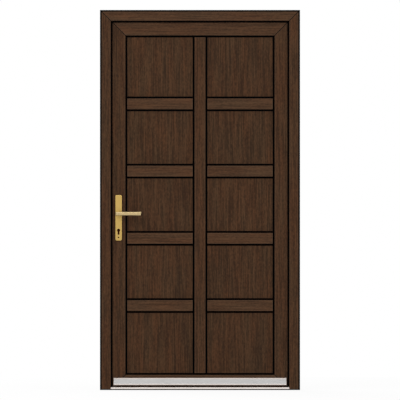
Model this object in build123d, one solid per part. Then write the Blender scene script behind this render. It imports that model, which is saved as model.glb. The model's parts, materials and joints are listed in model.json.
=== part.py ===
from build123d import *
from math import hypot
import os

# A panelled uPVC front door in its frame. It opens inwards and is hinged on the right, seen from outdoors.
# Millimetres. Seen from outdoors +X is right and +Z is up; +Y runs into the house.
# The origin is the middle of the threshold's underside, at the middle of the frame's depth.

# Outer frame profile
frame_width = 1100.0
frame_height = 2090.0
frame_depth = 70.0
frame_face = 59.0
frame_lip = 20.0
frame_lip_depth = 21.0
frame_main_chamber = 32.0
edge_step_width = 9.0
edge_step_depth = 3.0
clip_groove_mouth = 7.0
clip_groove_floor = 10.0
clip_groove_depth = 4.0
front_clip_setback = 5.0
rear_clip_setback = 8.0

# Door leaf profile
sash_overlap = 6.0
sash_face = 86.5
sash_depth = 70.0
sash_rear_chamber = 12.0
glazing_lip = 18.0
glazing_lip_depth = 14.0
flange_overlap = 8.0
leaf_bottom = 10.5
bottom_sight = 82.5

# Centre bar and cross bars
field_rows = 5
bar_face = 60.0
bar_web = 26.0
bar_pitch = 370.0
bar_lift = 2.5
cope_clearance = 0.2

# Sizes that all the profiles share
profile_wall = 3.0
profile_round = 2.5
weld_groove = 2.0
steel_wall = 2.0
steel_clearance = 0.4
steel_end_gap = 20.0
overrun = 5.0
pick_distance = 1.0

# Seals
frame_gasket_thickness = 4.0
frame_gasket_hidden = 8.0
frame_gasket_visible = 10.0
leaf_gasket_thickness = 3.7
leaf_gasket_width = 6.0
panel_gasket_thickness = 4.0
panel_gasket_hidden = 8.0
panel_gasket_visible = 10.5
gasket_nose = 1.2
sweep_width = 10.0
sweep_setback = 12.0
seal_clearance = 0.3

# Infill panels and the beads that hold them from indoors
panel_thickness = 32.0
panel_edge_gap = 5.0
bead_width = 20.0
bead_flat = 13.0
bead_toe = 10.0

# Threshold
threshold_base_height = 5.5
threshold_height = 16.5
threshold_tread = 2.0
threshold_fall = 2.0
threshold_wall = 2.0
tread_screw_count = 4
tread_screw_reach = 400.0
tread_screw_setback = 13.0
tread_screw_length = 6.5

# Weather bar
weather_bar_side_gap = 16.0
weather_bar_top = 66.0
weather_bar_bottom = 27.5
weather_bar_reach = 26.0
weather_bar_shoulder = 3.0
weather_bar_wall = 2.0
weather_bar_drip = 6.0
weather_bar_foot = 8.0
end_cap_thickness = 2.0

# Handle plates, levers and spindle
backset = 49.0
handle_height = 970.0
cylinder_drop = 92.0
plate_width = 37.0
plate_thickness = 9.0
plate_corner = 9.0
plate_edge_round = 3.0
plate_rise = 103.0
plate_fall = 57.0
collar_radius = 14.0
collar_height = 4.0
neck_radius = 9.5
neck_clearance = 0.3
lever_length = 124.0
lever_heel = 16.0
lever_height = 22.0
lever_thickness = 13.0
lever_projection = 58.0
lever_end_slant = 12.0
lever_heel_round = 4.5
lever_tip_round = 2.0
spindle_side = 8.0
spindle_grip = 25.0
spindle_clearance = 0.05
stile_hole_radius = 11.0

# Sections of the lever's grip: place along it, height and thickness, as shares of its own sizes
lever_section_shares = (
    (0.0, 1.0, 1.0),
    (0.35, 0.95, 0.95),
    (0.70, 0.92, 0.86),
    (1.03, 1.0, 0.80),
)
lever_corner_share = 0.42

# Lock faceplate and cases
lock_setback = 14.5
faceplate_width = 16.0
faceplate_thickness = 3.0
faceplate_margin = 60.0
groove_clearance = 0.1
case_thickness = 15.0
case_wall = 1.5
case_reach = 16.0
case_head = 60.0
case_foot = 34.0
case_clearance = 0.3
hook_case_depth = 42.0

# Follower, latch bolt and deadbolt
follower_radius = 11.0
follower_journal = 9.0
follower_nose = 13.0
follower_nose_width = 7.0
follower_clearance = 0.1
latch_height = 30.0
latch_thickness = 11.0
latch_throw = 13.0
latch_nose = 3.0
latch_offset = 29.0
deadbolt_height = 30.0
deadbolt_offset = 33.0
deadbolt_recess = 0.5
deadbolt_bevel = 0.5
bolt_tail = 42.0
bolt_clearance = 0.5

# Hooks and the rods that drive them
upper_hook_drop = 436.0
hook_fall = 650.0
hook_setback = 19.0
hook_reach = 36.0
hook_arm_width = 12.0
hook_beak_length = 16.0
hook_beak_height = 11.0
hook_thickness = 8.0
hook_round = 4.0
hook_boss_radius = 9.0
hook_pin_radius = 3.0
hook_clearance = 1.0
pin_clearance = 0.08
rod_width = 9.0
rod_thickness = 4.0
rod_groove_clearance = 0.5
rod_travel = 10.0
rod_end_gap = 2.0

# Profile cylinder
cylinder_radius = 8.5
cylinder_leg = 19.5
cylinder_leg_radius = 5.0
cylinder_recess = 1.0
cylinder_clearance = 0.3
cylinder_stile_clearance = 1.5
cylinder_screw_drop = 20.0
plug_radius = 6.4
plug_clearance = 0.08
cam_radius = 13.8
cam_width = 9.0
cam_thickness = 9.0
cam_gap = 0.4
key_slot_width = 2.0
key_slot_height = 8.0
key_slot_depth = 10.0

# Keeps in the frame
keep_thickness = 7.0
keep_width = 20.0
keep_bevel = 1.5
keep_margin = 24.0
pocket_clearance = 2.0
pocket_depth = 13.0

# Hinges
hinge_end_distance = 260.0
hinge_side_gap = 8.0
hinge_rise = 7.5
knuckle_radius = 9.5
knuckle_height = 26.0
middle_knuckle_height = 48.0
knuckle_gap = 1.0
hinge_pin_radius = 5.0
hinge_pin_clearance = 0.05
hinge_cap_height = 1.5
bush_wall = 2.0
bush_clearance = 0.05
bush_flange = 0.7
hinge_arm_gap = 3.0
frame_plate_width = 25.0
frame_plate_thickness = 4.5
leaf_plate_width = 48.0
leaf_plate_height = 82.0
leaf_plate_thickness = 4.0
leaf_plate_inset = 3.0
leaf_web_width = 14.0
hinge_corner = 3.0

# Screws and anchor holes
screw_radius = 2.2
screw_head_radius = 4.2
screw_head_height = 2.4
screw_length = 16.0
screw_clearance = 0.1
screw_recess_length = 4.6
screw_recess_width = 1.1
screw_recess_depth = 1.5
screw_edge = 10.0
through_bolt_length = 74.0
plate_screw_inset = 18.0
anchor_radius = 5.1
anchor_end_distance = 150.0
anchor_inner_spacing = 700.0

# Turns, in degrees
half_right_angle = 45.0
right_angle = 90.0

# Places across the depth, from outdoors to indoors
frame_front = -frame_depth / 2
frame_back = frame_depth / 2
lip_back = frame_front + frame_lip_depth
main_chamber_back = lip_back + frame_main_chamber
frame_gasket_back = lip_back + frame_gasket_thickness
sash_front = frame_gasket_back + seal_clearance
sash_back = sash_front + sash_depth
glazing_lip_back = sash_front + glazing_lip_depth
panel_front = glazing_lip_back + panel_gasket_thickness
panel_back = panel_front + panel_thickness
rear_chamber_front = sash_back - profile_wall - sash_rear_chamber
flange_front = frame_back + leaf_gasket_thickness + seal_clearance
lock_y = flange_front - lock_setback
leaf_middle_y = (sash_front + sash_back) / 2
plate_front = sash_front - plate_thickness
clip_groove_places = (lip_back + front_clip_setback, frame_back - rear_clip_setback)

# Widths counted inwards from the frame's outer edge, or from the leaf's own edge
half_width = frame_width / 2
rebate = frame_face - frame_lip
frame_chamber_start = clip_groove_depth + profile_wall
sash_edge = frame_face - sash_overlap
sash_box = sash_face - glazing_lip
flange = sash_edge - rebate + flange_overlap
groove_width = faceplate_width + 2 * groove_clearance
rod_groove_width = rod_width + 2 * rod_groove_clearance
rod_groove_depth = rod_thickness + 2 * rod_groove_clearance
groove_bottom = faceplate_thickness + rod_groove_depth
main_chamber_start = groove_bottom + profile_wall
bottom_trim = sash_face - bottom_sight + leaf_bottom

# Sight lines, the walls behind them and the bars between the panels
sight_x = half_width - sash_edge - sash_face
sight_top = frame_height - sash_edge - sash_face
wall_x = sight_x + glazing_lip
wall_top = sight_top + glazing_lip
wall_bottom = bottom_sight - glazing_lip
half_bar = bar_face / 2
half_web = bar_web / 2
tread_top = threshold_base_height + threshold_tread
weather_bar_length = frame_width - 2 * (frame_face + weather_bar_side_gap)
anchor_outer_spacing = frame_height - 2 * anchor_end_distance
bar_heights = [
    (bottom_sight + sight_top) / 2 + bar_lift + bar_pitch * (field_rows / 2 - 1 - row)
    for row in range(field_rows - 1)
]

# Places of the lock and the hinges
lock_edge = -half_width + sash_edge
rebate_wall = -half_width + rebate
spindle_x = lock_edge + backset
cylinder_z = handle_height - cylinder_drop
latch_z = handle_height + latch_offset
deadbolt_z = cylinder_z + deadbolt_offset
hook_x = lock_edge + hook_setback
upper_hook_z = frame_height - upper_hook_drop
lower_hook_z = handle_height - hook_fall
hook_tip_radius = hypot(hook_reach, hook_beak_length)
hook_case_head = hook_tip_radius + hook_clearance + case_wall
hook_case_foot = hook_boss_radius + hook_clearance + case_wall
case_start = lock_edge + faceplate_thickness
case_top = handle_height + case_head
case_bottom = cylinder_z - case_foot
plate_height = plate_rise + cylinder_drop + plate_fall
plate_z = handle_height + plate_rise - plate_height / 2
plate_screw_z = plate_z - plate_height / 2 + plate_screw_inset
bolt_screw_z = plate_z + plate_height / 2 - plate_screw_inset
faceplate_top = upper_hook_z + hook_case_head + faceplate_margin
faceplate_bottom = lower_hook_z - hook_case_head - faceplate_margin
flange_tip_x = half_width - sash_edge + flange
hinge_x = flange_tip_x + hinge_side_gap
hinge_y = sash_back + hinge_rise
hinge_heights = (hinge_end_distance, frame_height / 2, frame_height - hinge_end_distance)
hinge_length = middle_knuckle_height + 2 * knuckle_gap + 2 * knuckle_height

# Mitre planes at the corners, each with its normal towards the rail
top_left_mitre = Plane(origin=(-half_width, 0, frame_height), z_dir=(1, 0, 1))
top_right_mitre = Plane(origin=(half_width, 0, frame_height), z_dir=(-1, 0, 1))
bottom_left_mitre = Plane(origin=(-sight_x, 0, bottom_sight), z_dir=(1, 0, -1))
bottom_right_mitre = Plane(origin=(sight_x, 0, bottom_sight), z_dir=(-1, 0, -1))


# Shapes that many pieces use
def rect(low_x, low_y, high_x, high_y):
    """A rectangle from its low corner to its high corner."""
    return Pos((low_x + high_x) / 2, (low_y + high_y) / 2) * Rectangle(high_x - low_x, high_y - low_y)


def polygon(*points):
    """A flat face with straight sides."""
    return make_face(Polyline(*points, close=True))


def block(low, high):
    """An upright box from its low corner to its high corner."""
    low, high = Vector(*low), Vector(*high)
    size = high - low
    return Pos((low + high) / 2) * Box(size.X, size.Y, size.Z)


def rod_along_y(radius, x, z, low_y, high_y):
    """A round bar along Y."""
    return Pos(x, (low_y + high_y) / 2, z) * Rot(right_angle, 0, 0) * Cylinder(radius, high_y - low_y)


def rod_along_x(radius, y, z, low_x, high_x):
    """A round bar along X."""
    return Pos((low_x + high_x) / 2, y, z) * Rot(0, right_angle, 0) * Cylinder(radius, high_x - low_x)


def along_y(sketch, x, z, low_y, high_y):
    """A sketch drawn in X and Z, extruded along Y."""
    plane = Plane(origin=(x, high_y, z), x_dir=(1, 0, 0), z_dir=(0, -1, 0))
    return plane * extrude(sketch, amount=high_y - low_y, dir=(0, 0, 1))


def along_x(sketch, low_x, high_x):
    """A sketch drawn in Y and Z, extruded along X."""
    plane = Plane(origin=(low_x, 0, 0), x_dir=(0, 1, 0), z_dir=(1, 0, 0))
    return plane * extrude(sketch, amount=high_x - low_x, dir=(0, 0, 1))


def rounded(face, radius, *corners):
    """Round the corners of a flat face that lie at the given points."""
    picked = [v for v in face.vertices()
              if any(hypot(v.X - x, v.Y - y) < pick_distance for x, y in corners)]
    return fillet(picked, radius)


def cut(part, tools):
    """Take a list of tools away from a part."""
    for tool in tools:
        part = part - tool
    return part


def mirrored_x(part):
    """The right-hand twin of a left-hand piece."""
    return mirror(part, about=Plane.YZ)


# Profiles laid along the sides of the frame; a profile's own x runs inwards from the edge
def on_left(profile, edge, low_z, high_z):
    plane = Plane(origin=(-half_width + edge, 0, low_z))
    return plane * extrude(profile, amount=high_z - low_z, dir=(0, 0, 1))


def on_top(profile, edge):
    plane = Plane(origin=(-half_width, 0, frame_height - edge), x_dir=(0, 0, -1), z_dir=(1, 0, 0))
    return plane * extrude(profile, amount=frame_width, dir=(0, 0, 1))


def on_bottom(profile, edge_z):
    plane = Plane(origin=(half_width, 0, edge_z), x_dir=(0, 0, 1), z_dir=(-1, 0, 0))
    return plane * extrude(profile, amount=frame_width, dir=(0, 0, 1))


def mitred_left(part):
    return split(part, bisect_by=top_left_mitre, keep=Keep.BOTTOM)


def mitred_top(part):
    part = split(part, bisect_by=top_left_mitre, keep=Keep.TOP)
    return split(part, bisect_by=top_right_mitre, keep=Keep.TOP)


def weld_line(start, end):
    """The V groove that a cleaned weld leaves along a mitre."""
    start, end = Vector(*start), Vector(*end)
    plane = Plane(origin=(start + end) / 2, x_dir=(0, 1, 0), z_dir=end - start)
    length = (end - start).length + 2 * weld_groove
    return plane * Rot(0, 0, half_right_angle) * Box(weld_groove, weld_groove, length)


# Screws
def screw(length, clearance=0.0):
    """A countersunk screw that points down, with the top of its head at the origin."""
    head = Cone(screw_radius + clearance, screw_head_radius + clearance, screw_head_height)
    shank = Cylinder(screw_radius + clearance, length - screw_head_height)
    return Pos(0, 0, -screw_head_height / 2) * head + Pos(0, 0, -(length + screw_head_height) / 2) * shank


def recessed_screw(length):
    """A screw with a cross recess in its head."""
    slot = Box(screw_recess_length, screw_recess_width, 2 * screw_recess_depth)
    return screw(length) - slot - Rot(0, 0, right_angle) * slot


def driven(piece, point, direction):
    """A piece that points down, turned to the direction it is driven in at a point."""
    return Plane(origin=point, z_dir=-Vector(*direction)) * piece


def screw_holes(places):
    """A hole for each place, which is a point, a direction and a length."""
    return [driven(screw(length + screw_clearance, screw_clearance), point, direction)
            for point, direction, length in places]


def screws(places):
    """A screw for each such place."""
    return [driven(recessed_screw(length), point, direction) for point, direction, length in places]


def keep_screw_places(low_z, high_z):
    x = rebate_wall + keep_thickness
    return [((x, lock_y, z), (-1, 0, 0), screw_length) for z in (low_z + screw_edge, high_z - screw_edge)]


def frame_hinge_screw_places():
    x = flange_tip_x + hinge_arm_gap + frame_plate_width - screw_head_radius - hinge_corner / 2
    reach = hinge_length / 2 - screw_edge
    y = frame_back + frame_plate_thickness
    return [((x, y, z + dz), (0, -1, 0), screw_length) for z in hinge_heights for dz in (-reach, 0, reach)]


def leaf_hinge_screw_places():
    near_x = flange_tip_x - leaf_plate_inset - screw_edge
    far_x = flange_tip_x - leaf_plate_inset - leaf_plate_width + screw_edge
    reach = leaf_plate_height / 2 - screw_edge
    y = sash_back + leaf_plate_thickness
    return [
        ((x, y, z + dz), (0, -1, 0), screw_length)
        for z in hinge_heights for x in (near_x, far_x) for dz in (-reach, reach)
    ]


def faceplate_screw_places():
    outer = (faceplate_bottom + screw_edge, faceplate_top - screw_edge)
    inner = (lower_hook_z - hook_case_head - screw_edge, upper_hook_z + hook_case_head + screw_edge)
    return [((lock_edge, lock_y, z), (1, 0, 0), screw_length) for z in outer + inner]


def tread_screw_places():
    pitch = 2 * tread_screw_reach / (tread_screw_count - 1)
    y = frame_back - tread_screw_setback
    return [((pitch * number - tread_screw_reach, y, tread_top), (0, 0, -1), tread_screw_length)
            for number in range(tread_screw_count)]


def cylinder_screw_places():
    return [((lock_edge, lock_y, cylinder_z - cylinder_screw_drop), (1, 0, 0), backset)]


def outside_plate_screw_places():
    return [((spindle_x, plate_front, plate_screw_z), (0, 1, 0), screw_length)]


def inside_plate_screw_places():
    y = sash_back + plate_thickness
    return [
        ((spindle_x, y, plate_screw_z), (0, -1, 0), screw_length),
        ((spindle_x, y, bolt_screw_z), (0, -1, 0), through_bolt_length),
    ]


# Pockets and keeps for the bolts and hooks
def bolt_pocket(z, height, thickness):
    """The space in the keep and the jamb that a bolt shoots into."""
    half_y = thickness / 2 + pocket_clearance
    half_z = height / 2 + pocket_clearance
    return block(
        (rebate_wall - pocket_depth, lock_y - half_y, z - half_z),
        (rebate_wall + keep_thickness + overrun, lock_y + half_y, z + half_z),
    )


def hook_span(z, turn):
    """The low and high end of what a hook sweeps, for a hook that points up (1) or down (-1)."""
    ends = (z - turn * (hook_arm_width / 2 + hook_clearance), z + turn * (hook_tip_radius + hook_clearance))
    return min(ends), max(ends)


def hook_pocket(z, turn):
    low, high = hook_span(z, turn)
    return bolt_pocket((low + high) / 2, high - low, hook_thickness)


def main_keep_span():
    low = deadbolt_z - deadbolt_height / 2 - keep_margin
    return low, latch_z + latch_height / 2 + keep_margin


def hook_keep_span(z, turn):
    low, high = hook_span(z, turn)
    return low - keep_margin, high + keep_margin


def keep_plate(span, pockets):
    low, high = span
    half = keep_width / 2
    plate = block((rebate_wall, lock_y - half, low), (rebate_wall + keep_thickness, lock_y + half, high))
    plate = chamfer(plate.edges().filter_by(Axis.Z).group_by(Axis.X)[-1], keep_bevel)
    return cut(plate, pockets + screw_holes(keep_screw_places(low, high)))


def all_pockets():
    return [
        bolt_pocket(latch_z, latch_height, latch_thickness),
        bolt_pocket(deadbolt_z, deadbolt_height, latch_thickness),
        hook_pocket(upper_hook_z, 1),
        hook_pocket(lower_hook_z, -1),
    ]


def main_keep():
    return keep_plate(main_keep_span(), all_pockets()[:2])


def hook_keeps():
    return [keep_plate(hook_keep_span(z, turn), [hook_pocket(z, turn)])
            for z, turn in ((upper_hook_z, 1), (lower_hook_z, -1))]


def all_keep_screw_places():
    spans = (main_keep_span(), hook_keep_span(upper_hook_z, 1), hook_keep_span(lower_hook_z, -1))
    return [place for span in spans for place in keep_screw_places(*span)]


# Outer frame
def clip_groove(y):
    """A dovetail groove in the side towards the building, for add-on profiles and fixing clips."""
    mouth, floor = clip_groove_mouth / 2, clip_groove_floor / 2
    deep = clip_groove_depth
    return polygon((0, y - mouth), (deep, y - floor), (deep, y + floor), (0, y + mouth))


def frame_profile():
    outline = polygon(
        (0, frame_front + edge_step_depth), (edge_step_width, frame_front + edge_step_depth),
        (edge_step_width, frame_front), (frame_face, frame_front), (frame_face, lip_back),
        (rebate, lip_back), (rebate, frame_back), (0, frame_back),
    )
    outline = rounded(outline, profile_round, (frame_face, frame_front))
    for y in clip_groove_places:
        outline = outline - clip_groove(y)
    wall, start = profile_wall, frame_chamber_start
    front = rect(edge_step_width + wall, frame_front + wall, frame_face - wall, lip_back - wall)
    main = rect(start, lip_back, rebate - wall, main_chamber_back)
    rear = rect(start, main_chamber_back + wall, rebate - wall, frame_back - wall)
    return outline - front - main - rear


def frame_steel_profile():
    """A steel channel that fills the main chamber, open towards the building."""
    start = frame_chamber_start + steel_clearance
    end = rebate - profile_wall - steel_clearance
    low_y = lip_back + steel_clearance
    high_y = main_chamber_back - steel_clearance
    outer = rect(start, low_y, end, high_y)
    return outer - rect(start - overrun, low_y + steel_wall, end - steel_wall, high_y - steel_wall)


def anchor_holes():
    """The holes through a jamb for the anchors that hold the frame in the wall."""
    y = (lip_back + main_chamber_back) / 2
    middle = frame_height / 2
    heights = [middle + side * spacing / 2 for spacing in (anchor_outer_spacing, anchor_inner_spacing)
               for side in (-1, 1)]
    start, end = -half_width - overrun, rebate_wall + overrun
    return [rod_along_x(anchor_radius, y, z, start, end) for z in heights]


def frame_weld_lines():
    top = (-half_width, frame_front, frame_height)
    lip = (-half_width + frame_face, frame_front, frame_height - frame_face)
    back_top = (-half_width, frame_back, frame_height)
    back_corner = (rebate_wall, frame_back, frame_height - rebate)
    return [weld_line(top, lip), weld_line(back_top, back_corner)]


def plain_jamb():
    jamb = mitred_left(on_left(frame_profile(), 0, threshold_base_height, frame_height))
    return cut(jamb, frame_weld_lines() + anchor_holes())


def left_jamb():
    return cut(plain_jamb(), all_pockets() + screw_holes(all_keep_screw_places()))


def right_jamb():
    return cut(mirrored_x(plain_jamb()), screw_holes(frame_hinge_screw_places()))


def head():
    grooves = frame_weld_lines()
    return cut(mitred_top(on_top(frame_profile(), 0)), grooves + [mirrored_x(tool) for tool in grooves])


def frame_steels():
    side = on_left(frame_steel_profile(), 0, steel_end_gap, frame_height - frame_face - steel_end_gap)
    side = cut(side, anchor_holes())
    lock_side = cut(side, all_pockets() + screw_holes(all_keep_screw_places()))
    reach = half_width - frame_face - steel_end_gap
    span = block((-reach, frame_front, 0), (reach, frame_back, frame_height))
    return [lock_side, mirrored_x(side), on_top(frame_steel_profile(), 0) & span]


def frame_gasket():
    """The seal that the leaf closes against, all round the rebate."""
    tip = frame_face + frame_gasket_visible
    heel = frame_face - frame_gasket_hidden
    profile = polygon(
        (heel, lip_back), (frame_face, lip_back), (tip, frame_gasket_back - gasket_nose),
        (tip, frame_gasket_back), (heel, frame_gasket_back),
    )
    foot_z = tread_top + seal_clearance
    side = mitred_left(on_left(profile, 0, foot_z, frame_height))
    reach = half_width - frame_face
    foot = block((-reach, lip_back, foot_z), (reach, frame_gasket_back, threshold_height))
    return side + mirrored_x(side) + mitred_top(on_top(profile, 0)) + foot


def edge_seal():
    """The strip bedded in the step round the frame's outer edge, against the plaster of the wall."""
    profile = rect(0, frame_front, edge_step_width, frame_front + edge_step_depth)
    side = mitred_left(on_left(profile, 0, threshold_base_height, frame_height))
    return side + mirrored_x(side) + mitred_top(on_top(profile, 0))


# Threshold
def threshold_base():
    """The packer that the jambs and the threshold stand on."""
    base = block((-half_width, frame_front, 0), (half_width, frame_back, threshold_base_height))
    return cut(base, screw_holes(tread_screw_places()))


def threshold_cover():
    """An aluminium section: a hollow upstand outdoors and a tread behind it."""
    base, wall = threshold_base_height, threshold_wall
    eaves = threshold_height - threshold_fall
    outline = polygon(
        (frame_front, base), (frame_front, eaves), (lip_back, threshold_height), (lip_back, base),
    )
    hollow = polygon(
        (frame_front + wall, base + wall), (frame_front + wall, eaves - wall),
        (lip_back - wall, threshold_height - wall), (lip_back - wall, base + wall),
    )
    narrow = half_width - frame_face
    wide = half_width - rebate
    tread = block((-wide, lip_back, base), (wide, frame_back, tread_top))
    return cut(along_x(outline - hollow, -narrow, narrow) + tread, screw_holes(tread_screw_places()))


# Door leaf
def sash_profile():
    low, high = lock_y - groove_width / 2, lock_y + groove_width / 2
    rod_low, rod_high = lock_y - rod_groove_width / 2, lock_y + rod_groove_width / 2
    step = faceplate_thickness
    outline = polygon(
        (0, sash_front), (sash_face, sash_front), (sash_face, glazing_lip_back), (sash_box, glazing_lip_back),
        (sash_box, sash_back), (-flange, sash_back), (-flange, flange_front), (0, flange_front),
        (0, high), (step, high), (step, rod_high), (groove_bottom, rod_high),
        (groove_bottom, rod_low), (step, rod_low), (step, low), (0, low),
    )
    outline = rounded(outline, profile_round, (sash_face, sash_front), (-flange, sash_back))
    wall = profile_wall
    front = rect(wall, sash_front + wall, sash_face - wall, glazing_lip_back - wall)
    main = rect(main_chamber_start, glazing_lip_back, sash_box - wall, rear_chamber_front - wall)
    rear = rect(wall - flange, rear_chamber_front, sash_box - wall, sash_back - wall)
    return outline - front - main - rear


def bottom_rail_profile():
    """The same section, trimmed to clear the threshold."""
    start = bottom_trim
    outline = polygon(
        (start, sash_front), (sash_face, sash_front), (sash_face, glazing_lip_back),
        (sash_box, glazing_lip_back), (sash_box, sash_back), (start, sash_back),
    )
    outline = rounded(outline, profile_round, (sash_face, sash_front))
    wall = profile_wall
    front = rect(start + wall, sash_front + wall, sash_face - wall, glazing_lip_back - wall)
    main = rect(start + wall, glazing_lip_back, sash_box - wall, rear_chamber_front - wall)
    rear = rect(start + wall, rear_chamber_front, sash_box - wall, sash_back - wall)
    return outline - front - main - rear


def tube_profile(start):
    """A steel tube that fills the leaf's main chamber, which starts at the given place."""
    gap = steel_clearance
    low_y, high_y = glazing_lip_back + gap, rear_chamber_front - profile_wall - gap
    end = sash_box - profile_wall - gap
    outer = rect(start + gap, low_y, end, high_y)
    return outer - rect(start + gap + steel_wall, low_y + steel_wall, end - steel_wall, high_y - steel_wall)


def sash_top_weld_lines():
    edge = (lock_edge, sash_front, frame_height - sash_edge)
    tip = (lock_edge - flange, sash_back, frame_height - sash_edge + flange)
    return [
        weld_line(edge, (-sight_x, sash_front, sight_top)),
        weld_line(tip, (-wall_x, sash_back, wall_top)),
    ]


def sash_bottom_weld_lines():
    front_drop = bottom_sight - leaf_bottom
    back_drop = wall_bottom - leaf_bottom
    return [
        weld_line((-sight_x, sash_front, bottom_sight), (-sight_x - front_drop, sash_front, leaf_bottom)),
        weld_line((-wall_x, sash_back, wall_bottom), (-wall_x - back_drop, sash_back, leaf_bottom)),
    ]


def plain_stile():
    stile = mitred_left(on_left(sash_profile(), sash_edge, leaf_bottom, frame_height))
    stile = split(stile, bisect_by=bottom_left_mitre, keep=Keep.BOTTOM)
    return cut(stile, sash_top_weld_lines() + sash_bottom_weld_lines())


def case_pocket(low_z, high_z, end_x):
    half = case_thickness / 2 + case_clearance
    return block(
        (case_start, lock_y - half, low_z - case_clearance),
        (end_x + case_clearance, lock_y + half, high_z + case_clearance),
    )


def lock_cuts():
    """All that is routed out of the lock stile for the lock, the cylinder, the handle and their screws."""
    hook_end = lock_edge + hook_case_depth
    cylinder_sketch = cylinder_section(cylinder_stile_clearance)
    low_y, high_y = sash_front - overrun, sash_back + overrun
    places = faceplate_screw_places() + outside_plate_screw_places() + inside_plate_screw_places()
    return [
        case_pocket(case_bottom, case_top, spindle_x + case_reach),
        case_pocket(upper_hook_z - hook_case_foot, upper_hook_z + hook_case_head, hook_end),
        case_pocket(lower_hook_z - hook_case_head, lower_hook_z + hook_case_foot, hook_end),
        rod_along_y(stile_hole_radius, spindle_x, handle_height, low_y, high_y),
        along_y(cylinder_sketch, spindle_x, cylinder_z, low_y, high_y),
    ] + screw_holes(places)


def lock_stile():
    return cut(plain_stile(), lock_cuts())


def hinge_stile():
    return cut(mirrored_x(plain_stile()), screw_holes(leaf_hinge_screw_places()))


def top_rail():
    grooves = sash_top_weld_lines()
    rail = mitred_top(on_top(sash_profile(), sash_edge))
    return cut(rail, grooves + [mirrored_x(tool) for tool in grooves])


def bottom_rail():
    grooves = sash_bottom_weld_lines()
    rail = on_bottom(bottom_rail_profile(), bottom_sight - sash_face)
    rail = split(rail, bisect_by=bottom_left_mitre, keep=Keep.TOP)
    rail = split(rail, bisect_by=bottom_right_mitre, keep=Keep.TOP)
    return cut(rail, grooves + [mirrored_x(tool) for tool in grooves])


def leaf_steels():
    tube = tube_profile(main_chamber_start)
    side = on_left(tube, sash_edge, bottom_sight + steel_end_gap, sight_top - steel_end_gap)
    reach = sight_x - steel_end_gap
    span = block((-reach, sash_front, 0), (reach, sash_back, frame_height))
    bottom_tube = tube_profile(bottom_trim + profile_wall)
    return [
        cut(side, lock_cuts()),
        mirrored_x(side),
        on_top(tube, sash_edge) & span,
        on_bottom(bottom_tube, bottom_sight - sash_face) & span,
    ]


# Centre bar and cross bars
def bar_profile():
    outline = polygon(
        (-half_bar, sash_front), (half_bar, sash_front),
        (half_bar, glazing_lip_back), (half_web, glazing_lip_back),
        (half_web, sash_back), (-half_web, sash_back),
        (-half_web, glazing_lip_back), (-half_bar, glazing_lip_back),
    )
    outline = rounded(outline, profile_round, (-half_bar, sash_front), (half_bar, sash_front))
    wall = profile_wall
    front = rect(wall - half_bar, sash_front + wall, half_bar - wall, glazing_lip_back - wall)
    web = rect(wall - half_web, glazing_lip_back, half_web - wall, sash_back - wall)
    return outline - front - web


def centre_bar():
    """The upright bar; its face is cut back at both ends so that the gasket runs past in front of the web."""
    bar = Pos(0, 0, wall_bottom) * extrude(bar_profile(), amount=wall_top - wall_bottom, dir=(0, 0, 1))
    cope = glazing_lip + panel_gasket_visible
    low_y, high_y = sash_front - overrun, panel_front + cope_clearance
    ends = ((wall_bottom - overrun, wall_bottom + cope), (wall_top - cope, wall_top + overrun))
    return cut(bar, [block((-half_bar - overrun, low_y, low), (half_bar + overrun, high_y, high))
                     for low, high in ends])


def cross_bar(z):
    """A left-hand cross bar between the lock stile and the centre bar, coped like it."""
    plane = Plane(origin=(-wall_x, 0, z), x_dir=(0, 0, -1), z_dir=(1, 0, 0))
    bar = plane * extrude(bar_profile(), amount=wall_x - half_web, dir=(0, 0, 1))
    low_y, high_y = sash_front - overrun, panel_front + cope_clearance
    ends = (
        (-wall_x - overrun, -sight_x + panel_gasket_visible),
        (-half_bar - panel_gasket_visible, -half_web + overrun),
    )
    return cut(bar, [block((low, low_y, z - half_bar - overrun), (high, high_y, z + half_bar + overrun))
                     for low, high in ends])


# Panels, their gaskets and beads
def row_spans():
    """The low and high wall of each row of fields, from the top."""
    tops = [wall_top] + [z - half_web for z in bar_heights]
    bottoms = [z + half_web for z in bar_heights] + [wall_bottom]
    return list(zip(bottoms, tops))


def panel(low_z, high_z):
    """A left-hand infill panel, loose in its rebate between the gaskets and the beads."""
    gap = panel_edge_gap
    return block((-wall_x + gap, panel_front, low_z + gap), (-half_web - gap, panel_back, high_z - gap))


def gasket_profile():
    """A glazing gasket: x is 0 at the edge of the lip that hides its foot, and grows towards the panel."""
    tip = panel_gasket_visible
    return polygon(
        (-panel_gasket_hidden, glazing_lip_back), (0, glazing_lip_back), (tip, panel_front - gasket_nose),
        (tip, panel_front), (-panel_gasket_hidden, panel_front),
    )


def upright_gasket(x, low_z, high_z):
    """A gasket up an edge that has its panel on the right."""
    return Pos(x, 0, low_z) * extrude(gasket_profile(), amount=high_z - low_z, dir=(0, 0, 1))


def level_gasket(z, low_x, high_x, up):
    """A gasket along an edge that has its panel above (up is 1) or below (up is -1)."""
    plane = Plane(origin=((low_x if up < 0 else high_x), 0, z), x_dir=(0, 0, up), z_dir=(-up, 0, 0))
    return plane * extrude(gasket_profile(), amount=high_x - low_x, dir=(0, 0, 1))


def panel_gaskets():
    tip = panel_gasket_visible
    end = sight_x + panel_gasket_hidden
    low_z, high_z = bottom_sight + tip, sight_top - tip
    strips = [level_gasket(sight_top, -end, end, -1), level_gasket(bottom_sight, -end, end, 1)]
    left = [upright_gasket(-sight_x, low_z, high_z)]
    centre = upright_gasket(half_bar, low_z, high_z)
    for z in bar_heights:
        left.append(level_gasket(z + half_bar, -sight_x + tip, -half_bar - tip, 1))
        left.append(level_gasket(z - half_bar, -sight_x + tip, -half_bar - tip, -1))
    return strips + left + [mirrored_x(strip) for strip in left] + [centre, mirrored_x(centre)]


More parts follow.
